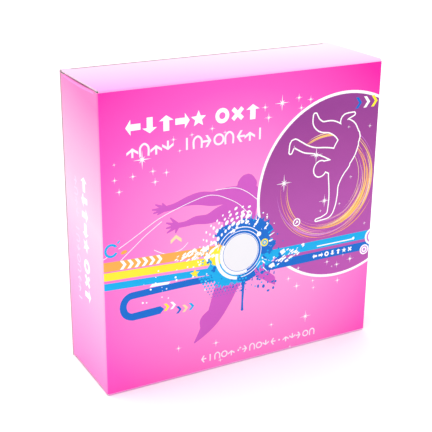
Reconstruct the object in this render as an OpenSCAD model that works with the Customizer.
// Boxed home dance mat: a tuck-end carton of micro-flute board, closed, with the
// folded foam mat, its controller, a leaflet and a software disc inside.
// Origin: centre of the bottom face. +X right, -Y to the front, +Z up. Millimetres.

/* [Mat] */
// Width of the mat laid out flat, across its three fold columns
mat_w = 820; // [700:1:1000]
// Length of the mat laid out flat, along its four fold rows
mat_h = 930; // [800:1:1120]
// Thickness of the printed vinyl cover
cover_t = 0.5; // [0.3:0.1:0.8]
// Thickness of each printed contact film
film_t = 0.2; // [0.15:0.05:0.4]
// Thickness of the foam core
foam_t = 4.5; // [3:0.1:6]
// Thickness of the anti-slip base sheet
base_t = 0.6; // [0.4:0.1:1]
// Width of the sewn edge binding
binding_w = 6; // [4:0.5:10]
// Air between two folded layers
layer_gap = 0.2; // [0.1:0.05:0.6]

/* [Room in the carton] */
// Room on each side of the folded mat
side_room = 4; // [2:0.5:12]
// Room in front of the folded mat
front_room = 1.4; // [1:0.1:5]
// Depth left behind the papers, for the tuck flaps
back_room = 7.2; // [6.6:0.1:20]
// Room above the controller
top_room = 9; // [2:0.5:20]
// Room under the folded mat and the papers
floor_room = 0.3; // [0.1:0.1:2]

/* [Board] */
// Thickness of the micro-flute board
board_t = 1.5; // [1.2:0.1:2]
// Outer radius of a folded edge
fold_r = 2.2; // [1.6:0.1:3]
// Opening left at a crease that moves
crease_gap = 0.1; // [0.05:0.05:0.3]

/* [Closures] */
// Room between a lid and the dust flaps under it
lid_gap = 0.5; // [0.3:0.1:1]
// How far a lid's cut edges stay inside the carton's sides
lid_inset = 0.6; // [0.2:0.1:1.5]
// Clearance between a lid's tuck fold and the back panel
tuck_clear = 0.3; // [0.2:0.05:0.8]
// Depth of a tuck flap
tuck_len = 22; // [15:1:26]
// How far a closed tuck flap leans away from the back panel, in degrees
tuck_lean = 12; // [11:1:15]
// Corner radius of a tuck flap
tuck_corner_r = 14; // [6:1:15]
// Length of the slit lock at each end of a tuck fold
slit_len = 9; // [5:1:14]
// How far a dust flap reaches in from its side
dust_len = 72; // [50:1:100]
// Distance from a lid's hinge fold to the start of a dust flap
dust_shoulder = 8; // [6:1:14]
// Taper of a dust flap on the hinge side, in degrees
dust_taper = 30; // [28:1:38]
// Taper of a dust flap on the tuck side, in degrees
dust_back_taper = 6; // [2:1:12]
// Width of the glue flap
glue_w = 30; // [20:1:40]
// Taper of the glue flap's ends, in degrees
glue_taper = 15; // [8:1:25]

/* [Controller] */
// Width of the controller
ctrl_w = 118; // [90:1:140]
// Height of the controller
ctrl_h = 34; // [30:1:44]
// Thickness of the controller
ctrl_t = 17; // [15:0.5:18]
// Wall of the controller's shells
shell_t = 1.8; // [1.4:0.1:2.4]
// Corner radius of the controller
ctrl_r = 6; // [4:0.5:9]
// Width of a button
button_w = 18; // [12:1:22]
// Height of a button
button_h = 8; // [6:0.5:10]
// Travel of a button
button_travel = 1; // [0.6:0.1:1.4]
// Clearance round a button in its window
button_clear = 0.3; // [0.2:0.05:0.5]
// Radius of the cable that the gland takes
cable_r = 2; // [1.5:0.1:2.5]
// Wall of the gland round its bore
gland_wall = 1.6; // [1.2:0.1:2]
// Length of the gland
gland_len = 7; // [5:0.5:8]
// Radius of a screw's shank
screw_r = 1.1; // [0.9:0.1:1.4]
// Radius of the status lamp
lamp_r = 1.5; // [1:0.1:2.5]

/* [Papers] */
// Size of the leaflet, width then height
leaflet_size = [148, 210]; // [100:1:220]
// Thickness of the folded leaflet
leaflet_t = 0.8; // [0.4:0.1:2]
// Radius of the disc
disc_r = 60; // [40:1:60]
// Radius of the disc's centre hole
disc_hole_r = 7.5; // [7:0.1:8]
// Thickness of the disc
disc_t = 1.2; // [1.1:0.1:1.5]
// Thickness of the sleeve's paper
sleeve_t = 0.4; // [0.2:0.1:0.6]
// Gap in front of each paper
paper_gap = 0.3; // [0.2:0.1:1]
// Clearance round the disc in its sleeve
disc_clear = 0.3; // [0.2:0.1:0.8]

/* [Hidden] */
$fn = 64;
cut = 1;               // how far a cutting solid runs past what it cuts
fold_rows = 4;         // the mat is folded to four rows and three columns
mitre_angle = 45;      // half of a square fold, which each mitre takes

// Folded mat. A strip is the mat folded across into three bands.
lam_t = cover_t + 2 * film_t + foam_t + base_t;
strip_t = 3 * lam_t + 2 * layer_gap;
row_pitch = strip_t + layer_gap;
pack_d = fold_rows * strip_t + (fold_rows - 1) * layer_gap;
band_fold_len = PI * (lam_t + layer_gap) / 2;
row_fold_len = PI * (strip_t + layer_gap) / 2;
flat_w = (mat_w - 2 * band_fold_len) / 3;
flat_h = (mat_h - (fold_rows - 1) * row_fold_len) / fold_rows;
pack_w = flat_w + 2 * lam_t + layer_gap;
row_end_r = strip_t + layer_gap / 2;

// Carton, sized round what it holds.
carton_w = pack_w + 2 * side_room + 2 * board_t;
papers_t = 2 * paper_gap + leaflet_t + disc_t + 2 * disc_clear + 2 * sleeve_t;
carton_d = pack_d + front_room + papers_t + back_room + 2 * board_t;
floor_z = 2 * board_t + lid_gap + floor_room;
row_low_z = floor_z + row_end_r;
row_high_z = row_low_z + flat_h;
end_z = row_high_z + binding_w;
tab_gap = 2;
ctrl_z = end_z + tab_gap;
carton_h = ctrl_z + ctrl_h + top_room + lid_gap + 2 * board_t;
half_w = carton_w / 2;
half_d = carton_d / 2;
pack_y = -half_d + board_t + front_room;
side_low_z = board_t + lid_gap;
side_h = carton_h - 2 * side_low_z;
lid_w = carton_w - 2 * lid_inset;
lid_d = carton_d - board_t - tuck_clear;
tuck_w = lid_w - 2 * slit_len;
tuck_room = tuck_len * sin(tuck_lean) + board_t + tuck_clear;

// Controller, held on the middle band of the front row.
ctrl_y = pack_y + strip_t / 2;
tab_w = 92;
tab_t = 3;
tab_in = 7;
pcb_t = 1.6;
pcb_front_y = ctrl_y - 1.5;
pcb_margin = 3;
pcb_low_z = ctrl_z + tab_in + 4;
pcb_h = ctrl_z + ctrl_h - shell_t - pcb_margin - pcb_low_z;
pcb_w = ctrl_w - 2 * shell_t - 2 * pcb_margin;
post_r = 2.6;
collar_r = post_r + 1.2; // collars that hold the circuit board between them
screw_head_r = 2.1;
screw_head_t = 1.4;
screw_end = 1.5;       // plastic left past the screw's tip
screw_clear = 0.2;
post_x = ctrl_w / 2 - shell_t - post_r - 1;
post_low_z = ctrl_z + shell_t + post_r + 0.5;
post_high_z = ctrl_z + ctrl_h - shell_t - post_r - 0.5;
post_clear = 0.4;
button_x = 30;
button_z = ctrl_z + ctrl_h / 2 + 4;
button_proud = 1.6;
flange_t = 1;
flange_rim = 1.2;
lamp_z = button_z;
gland_flange = 1.2;
chip_size = [12, 2, 8];
socket_size = [34, 3, 5];
tail_w = 30;
tail_t = 0.3;
sleeve_fold = 1;
sleeve_side = 2 * (disc_r + disc_clear + 1.5 * sleeve_fold);
window_r = 48;

vinyl = [0.80, 0.20, 0.55];
print_pink = [1.0, 0.35, 0.72];
pale_pink = [0.98, 0.75, 0.92];
kraft = [0.80, 0.76, 0.70];
case_grey = [0.25, 0.26, 0.30];

// ---- Board -------------------------------------------------------------

// Material taken off a board along one folded edge. The edge runs along +X from the
// origin, the board lies at +Y with its outer face up at z = 0.
module fold_cut(length, half_angle, gap) {
    slope = 1 / tan(half_angle);
    low = board_t + cut;
    translate([-cut, 0, 0]) rotate([90, 0, 90]) linear_extrude(length + 2 * cut) {
        polygon([[-2 * cut, cut], [gap - slope * cut, cut], [gap + slope * low, -low], [-2 * cut, -low]]);
        difference() {
            translate([-cut, -fold_r]) square([fold_r + cut, fold_r + cut]);
            translate([fold_r, -fold_r]) circle(fold_r);
            translate([fold_r, -fold_r - cut]) square([fold_r, fold_r + 2 * cut]);
        }
    }
}

// A flat board of the child outline, outer face up at z = 0. Each fold is
// [start x, start y, direction in degrees, length, half angle, gap].
module board(folds) {
    difference() {
        translate([0, 0, -board_t]) linear_extrude(board_t) children();
        for (f = folds)
            translate([f[0], f[1], 0]) rotate([0, 0, f[2]]) fold_cut(f[3], f[4], f[5]);
    }
}

module front_panel() {
    color(print_pink) translate([-half_w, -half_d, 0]) rotate([90, 0, 0])
        board([
            [0, 0, 0, carton_w, mitre_angle, crease_gap],
            [carton_w, 0, 90, carton_h, mitre_angle, 0],
            [carton_w, carton_h, 180, carton_w, mitre_angle, crease_gap],
            [0, carton_h, 270, carton_h, mitre_angle, 0]])
            square([carton_w, carton_h]);
}

module back_panel() {
    color(print_pink) translate([half_w, half_d, 0]) rotate([90, 0, 180])
        board([[0, carton_h, 270, carton_h, mitre_angle, 0]])
            square([carton_w, carton_h]);
}

// The side panel that carries the glue flap; its back fold tucks inside the back panel.
module left_panel() {
    side_d = carton_d - board_t;
    color(pale_pink) translate([-half_w, half_d - board_t, side_low_z]) rotate([90, 0, -90])
        board([
            [0, 0, 0, side_d, mitre_angle, crease_gap],
            [side_d, 0, 90, side_h, mitre_angle, 0],
            [side_d, side_h, 180, side_d, mitre_angle, crease_gap],
            [0, side_h, 270, side_h, mitre_angle, 0]])
            square([side_d, side_h]);
}

module right_panel() {
    color(pale_pink) translate([half_w, -half_d, side_low_z]) rotate([90, 0, 90])
        board([
            [0, 0, 0, carton_d, mitre_angle, crease_gap],
            [carton_d, 0, 90, side_h, mitre_angle, 0],
            [carton_d, side_h, 180, carton_d, mitre_angle, crease_gap],
            [0, side_h, 270, side_h, mitre_angle, 0]])
            square([carton_d, side_h]);
}

// Glued inside the back panel, with tapered ends that stay clear of the tuck flaps.
module glue_flap() {
    end_in = tuck_len + 4;
    flap_h = carton_h - 2 * end_in;
    taper = glue_w * tan(glue_taper);
    color(kraft) translate([-half_w, half_d - board_t, end_in]) rotate([90, 0, 180]) mirror([1, 0, 0])
        board([[0, flap_h, 270, flap_h, mitre_angle, 0]])
            polygon([[0, 0], [glue_w, taper], [glue_w, flap_h - taper], [0, flap_h]]);
}

// ---- Closure: outer face at z = 0, the carton below, hinge fold at the front ----

module lid() {
    translate([-lid_w / 2, -half_d, 0])
        board([
            [0, 0, 0, lid_w, mitre_angle, crease_gap],
            [lid_w - slit_len, lid_d, 180, tuck_w, mitre_angle, crease_gap]])
            square([lid_w, lid_d]);
}

module tuck_flap() {
    straight = tuck_len - tuck_corner_r;
    translate([-tuck_w / 2 + crease_gap, -half_d + lid_d, 0]) rotate([-90 - tuck_lean, 0, 0]) {
        width = tuck_w - 2 * crease_gap;
        board([[0, 0, 0, width, mitre_angle - tuck_lean, crease_gap]]) intersection() {
            square([width, tuck_len]);
            union() {
                square([width, straight]);
                translate([tuck_corner_r, 0]) square([width - 2 * tuck_corner_r, tuck_len]);
                for (x = [tuck_corner_r, width - tuck_corner_r])
                    translate([x, straight]) circle(tuck_corner_r);
            }
        }
    }
}

// The left dust flap; the right one is its mirror image.
module dust_flap() {
    back_y = half_d - board_t - tuck_room - 0.5;
    front_y = -half_d + dust_shoulder;
    base = back_y - front_y;
    translate([-half_w, back_y, -side_low_z]) rotate([0, 0, -90])
        board([[0, 0, 0, base, mitre_angle, crease_gap]])
            polygon([[0, 0], [base, 0],
                [base - dust_len * tan(dust_taper), dust_len],
                [dust_len * tan(dust_back_taper), dust_len]]);
}

module at_top() { translate([0, 0, carton_h]) children(); }
module at_bottom() { mirror([0, 0, 1]) children(); }

// ---- Folded mat ----------------------------------------------------------

// One layer of the strip, between depths a and b below the mat's printed side, as
// three bands joined by a fold on the right and a fold on the left.
module band_fold(side, centre, inner_r, outer_r) {
    translate([side * flat_w / 2, centre]) difference() {
        fold_circle(outer_r);
        fold_circle(inner_r);
        translate([-side * (outer_r + cut) / 2, 0])
            square([outer_r + cut, 2 * (outer_r + cut)], center = true);
    }
}

// The tightest bends are creased, as twelve flats.
module fold_circle(r) { circle(r, $fn = r < 1 ? 12 : $fn); }

module strip_layer(a, b) {
    lows = [lam_t - b, lam_t + layer_gap + a, strip_t - b];
    for (low = lows)
        translate([-flat_w / 2, low]) square([flat_w, b - a]);
    band_fold(1, lam_t + layer_gap / 2, layer_gap / 2 + a, layer_gap / 2 + b);
    band_fold(-1, 2 * lam_t + 1.5 * layer_gap, layer_gap / 2 + lam_t - b, layer_gap / 2 + lam_t - a);
}

// Sweeps the strip's section down and up through the four rows. Odd folds turn at
// the top, with the section's far side inside.
module at_row(i) {
    faces_back = i % 2 == 0;
    translate([0, pack_y + i * row_pitch + (faces_back ? strip_t : 0), row_low_z])
        mirror([0, faces_back ? 1 : 0, 0]) children();
}

module through_rows() {
    for (i = [0 : fold_rows - 1])
        at_row(i) linear_extrude(flat_h) children();
    for (i = [0 : fold_rows - 2]) {
        axis_y = pack_y + (i + 1) * row_pitch - layer_gap / 2;
        if (i % 2 == 0)
            multmatrix([[0, 0, 1, 0], [-1, 0, 0, axis_y], [0, -1, 0, row_low_z], [0, 0, 0, 1]])
                rotate_extrude(angle = 180)
                    translate([layer_gap / 2, 0]) mirror([1, -1]) children();
        else
            multmatrix([[0, 0, 1, 0], [1, 0, 0, axis_y], [0, 1, 0, row_high_z], [0, 0, 0, 1]])
                rotate_extrude(angle = 180)
                    translate([layer_gap / 2 + strip_t, 0]) mirror([1, 0]) mirror([1, -1]) children();
    }
}

module mat_layer(a, b) { through_rows() strip_layer(a, b); }

module mat_cover() { color(vinyl) mat_layer(0, cover_t); }

module mat_upper_film() { color("lightsteelblue") mat_layer(cover_t, cover_t + film_t); }

module mat_foam() { color("whitesmoke") mat_layer(cover_t + film_t, cover_t + film_t + foam_t); }

module mat_lower_film() { color("lightsteelblue") mat_layer(lam_t - base_t - film_t, lam_t - base_t); }

module mat_base() { color("dimgray") mat_layer(lam_t - base_t, lam_t); }

// Section of the binding on the strip's two free edges, each a half round.
module binding_section() {
    for (edge = [[-1, 0], [1, strip_t - lam_t]])
        translate([edge[0] * flat_w / 2, edge[1] + lam_t / 2]) intersection() {
            circle(lam_t / 2);
            translate([edge[0] * lam_t / 2, 0]) square(lam_t, center = true);
        }
}

// Edge binding: along both long edges through every row, and over both short ends.
module mat_binding() {
    color("black") {
        through_rows() binding_section();
        for (i = [0, fold_rows - 1])
            at_row(i) translate([0, 0, flat_h]) linear_extrude(binding_w) {
                strip_layer(0, lam_t);
                binding_section();
            }
    }
}

// Sewn vinyl tab on the middle band, which the controller's shells clamp.
module mat_tab() {
    color("black") translate([-tab_w / 2, ctrl_y - tab_t / 2, end_z])
        cube([tab_w, tab_t, tab_gap + tab_in]);
}

// ---- Controller ------------------------------------------------------------

// Outline of the controller grown or shrunk by a margin, drawn in X and Z.
module case_outline(margin) {
    w = ctrl_w + 2 * margin;
    h = ctrl_h + 2 * margin;
    r = ctrl_r + margin;
    translate([0, ctrl_h / 2]) {
        square([w, h - 2 * r], center = true);
        square([w - 2 * r, h], center = true);
        for (x = [-1, 1], z = [-1, 1])
            translate([x * (w / 2 - r), z * (h / 2 - r)]) circle(r);
    }
}

// A prism of the child outline from y = front to y = back, at the controller's height.
module case_prism(front, back) {
    translate([0, back, ctrl_z]) rotate([90, 0, 0]) linear_extrude(back - front) children();
}

// Posts from y = front to y = back, measured from the controller's parting line.
module posts(front, back, radius) {
    at_posts() translate([0, front, 0]) rotate([-90, 0, 0]) cylinder(h = back - front, r = radius);
}

module at_posts() {
    for (x = [-post_x, post_x], z = [post_low_z, post_high_z])
        translate([x, ctrl_y, z]) children();
}

module gland_space(extra) {
    outer = cable_r + gland_wall;
    translate([0, ctrl_y, ctrl_z + ctrl_h - shell_t - gland_flange]) {
        translate([0, 0, -extra]) cylinder(h = gland_flange + extra, r = outer + 1.2 + extra);
        cylinder(h = gland_len, r = outer + extra);
    }
}

module tab_slot() {
    room = 0.2;
    translate([-tab_w / 2 - room, ctrl_y - tab_t / 2 - room, ctrl_z - cut])
        cube([tab_w + 2 * room, tab_t + 2 * room, cut + tab_in + room]);
}

module controller_front_shell() {
    front = ctrl_y - ctrl_t / 2;
    color(case_grey) difference() {
        union() {
            difference() {
                case_prism(front, ctrl_y) case_outline(0);
                case_prism(front + shell_t, ctrl_y + cut) case_outline(-shell_t);
            }
            posts(-ctrl_t / 2 + shell_t / 2, 0, post_r);
            posts(-ctrl_t / 2 + shell_t / 2, pcb_front_y - ctrl_y, collar_r);
        }
        posts(-ctrl_t / 2 + shell_t + screw_end, cut, screw_r);
        for (x = [-button_x, button_x])
            translate([x - button_w / 2 - button_clear, front - cut, button_z - button_h / 2 - button_clear])
                cube([button_w + 2 * button_clear, shell_t + 2 * cut, button_h + 2 * button_clear]);
        translate([0, front - cut, lamp_z]) rotate([-90, 0, 0]) cylinder(h = shell_t + 2 * cut, r = lamp_r + 0.1);
        tab_slot();
        gland_space(0.05);
    }
}

module controller_back_shell() {
    back = ctrl_y + ctrl_t / 2;
    color(case_grey) difference() {
        union() {
            difference() {
                case_prism(ctrl_y, back) case_outline(0);
                case_prism(ctrl_y - cut, back - shell_t) case_outline(-shell_t);
            }
            posts(0, ctrl_t / 2 - shell_t / 2, post_r);
            posts(pcb_front_y + pcb_t - ctrl_y, ctrl_t / 2 - shell_t / 2, collar_r);
        }
        posts(-cut, ctrl_t / 2 + cut, screw_r + screw_clear);
        posts(ctrl_t / 2 - screw_head_t, ctrl_t / 2 + cut, screw_head_r + screw_clear);
        tab_slot();
        gland_space(0.05);
    }
}

module controller_screws() {
    tip = ctrl_t / 2 - shell_t - screw_end - 0.5;
    sunk = 0.2;
    color("silver") difference() {
        union() {
            posts(-tip, ctrl_t / 2 - screw_head_t, screw_r - 0.05);
            posts(ctrl_t / 2 - screw_head_t, ctrl_t / 2 - sunk, screw_head_r);
        }
        at_posts() for (turn = [0, 90])
            translate([0, ctrl_t / 2 - sunk, 0]) rotate([0, turn, 0]) cube([2.6, 1.2, 0.5], center = true);
    }
}

module circuit_board() {
    color("darkgreen") difference() {
        translate([-pcb_w / 2, pcb_front_y, pcb_low_z]) cube([pcb_w, pcb_t, pcb_h]);
        posts(-ctrl_t / 2, ctrl_t / 2, post_r + post_clear);
        gland_space(1);
    }
}

module controller_chip() {
    color("black") translate([-button_x - chip_size[0] / 2, pcb_front_y + pcb_t, button_z - chip_size[2] / 2])
        cube(chip_size);
}

module tail_connector() {
    color("ivory") difference() {
        translate([-socket_size[0] / 2, pcb_front_y + pcb_t, pcb_low_z + 1]) cube(socket_size);
        translate([-tail_w / 2 - 0.2, ctrl_y + 0.9, pcb_low_z]) cube([tail_w + 0.4, 0.8, 4]);
    }
}

// Flat film lead from the tab up into the connector behind the circuit board.
module membrane_tail() {
    low = end_z + tab_gap + tab_in;
    color("lightsteelblue") translate([-tail_w / 2, ctrl_y + 1.1, low])
        cube([tail_w, tail_t, pcb_low_z + 3.8 - low]);
}

module status_lamp() {
    front = ctrl_y - ctrl_t / 2;
    color("red") translate([0, front + 0.2, lamp_z]) rotate([-90, 0, 0]) {
        cylinder(h = pcb_front_y - front - 0.2, r = lamp_r);
        translate([0, 0, shell_t + 0.3]) cylinder(h = 1, r = lamp_r + 0.5);
    }
}

module cable_gland() {
    color("black") difference() {
        gland_space(0);
        translate([0, ctrl_y, ctrl_z + ctrl_h - shell_t - gland_flange - cut])
            cylinder(h = gland_len + 2 * cut, r = cable_r);
    }
}

// A key with its rim behind the shell and a contact pill that reaches the circuit
// board at the end of its travel.
module button(x) {
    front = ctrl_y - ctrl_t / 2;
    rim_y = front + shell_t + 0.1;
    pill_end = pcb_front_y - button_travel - 0.1;
    translate([x - button_w / 2, front - button_proud, button_z - button_h / 2])
        cube([button_w, rim_y - front + button_proud + flange_t, button_h]);
    translate([x - button_w / 2 - flange_rim, rim_y, button_z - button_h / 2 - flange_rim])
        cube([button_w + 2 * flange_rim, flange_t, button_h + 2 * flange_rim]);
    translate([x, rim_y + flange_t, button_z]) rotate([-90, 0, 0])
        cylinder(h = pill_end - rim_y - flange_t, r = 2.5);
}

// ---- Papers ------------------------------------------------------------------

leaflet_y = pack_y + pack_d + paper_gap;
sleeve_y = leaflet_y + leaflet_t + paper_gap;

module leaflet() {
    color("white") translate([-leaflet_size[0] / 2, leaflet_y, floor_z])
        cube([leaflet_size[0], leaflet_t, leaflet_size[1]]);
}

// A square paper sleeve with a round window over the disc's hub.
module disc_sleeve() {
    inner_t = disc_t + 2 * disc_clear;
    color("white") translate([0, sleeve_y, floor_z]) difference() {
        translate([-sleeve_side / 2, 0, 0]) cube([sleeve_side, inner_t + 2 * sleeve_t, sleeve_side]);
        translate([-disc_r - disc_clear, sleeve_t, sleeve_fold])
            cube([2 * (disc_r + disc_clear), inner_t, sleeve_side]);
        translate([0, sleeve_t + inner_t / 2, sleeve_side / 2]) rotate([-90, 0, 0])
            cylinder(h = inner_t + sleeve_t, r = window_r);
    }
}

module software_disc() {
    color("silver") translate([0, sleeve_y + sleeve_t + disc_clear, floor_z + sleeve_fold + disc_clear + disc_r])
        rotate([-90, 0, 0]) difference() {
        cylinder(h = disc_t, r = disc_r);
        translate([0, 0, -cut]) cylinder(h = disc_t + 2 * cut, r = disc_hole_r);
    }
}

front_panel();
back_panel();
left_panel();
right_panel();
glue_flap();
at_top() color(pale_pink) lid();  // top_lid
at_top() color(pale_pink) tuck_flap();  // top_tuck_flap
at_top() color(kraft) dust_flap();  // top_dust_flap_left
at_top() color(kraft) mirror([1, 0, 0]) dust_flap();  // top_dust_flap_right
at_bottom() color(print_pink) lid();  // bottom_lid
at_bottom() color(print_pink) tuck_flap();  // bottom_tuck_flap
at_bottom() color(kraft) dust_flap();  // bottom_dust_flap_left
at_bottom() color(kraft) mirror([1, 0, 0]) dust_flap();  // bottom_dust_flap_right
mat_cover();
mat_upper_film();
mat_foam();
mat_lower_film();
mat_base();
mat_binding();
mat_tab();
controller_front_shell();
controller_back_shell();
controller_screws();
circuit_board();
controller_chip();
tail_connector();
membrane_tail();
status_lamp();
cable_gland();
color("hotpink") button(button_x);  // start_button
color("hotpink") button(-button_x);  // select_button
leaflet();
disc_sleeve();
software_disc();
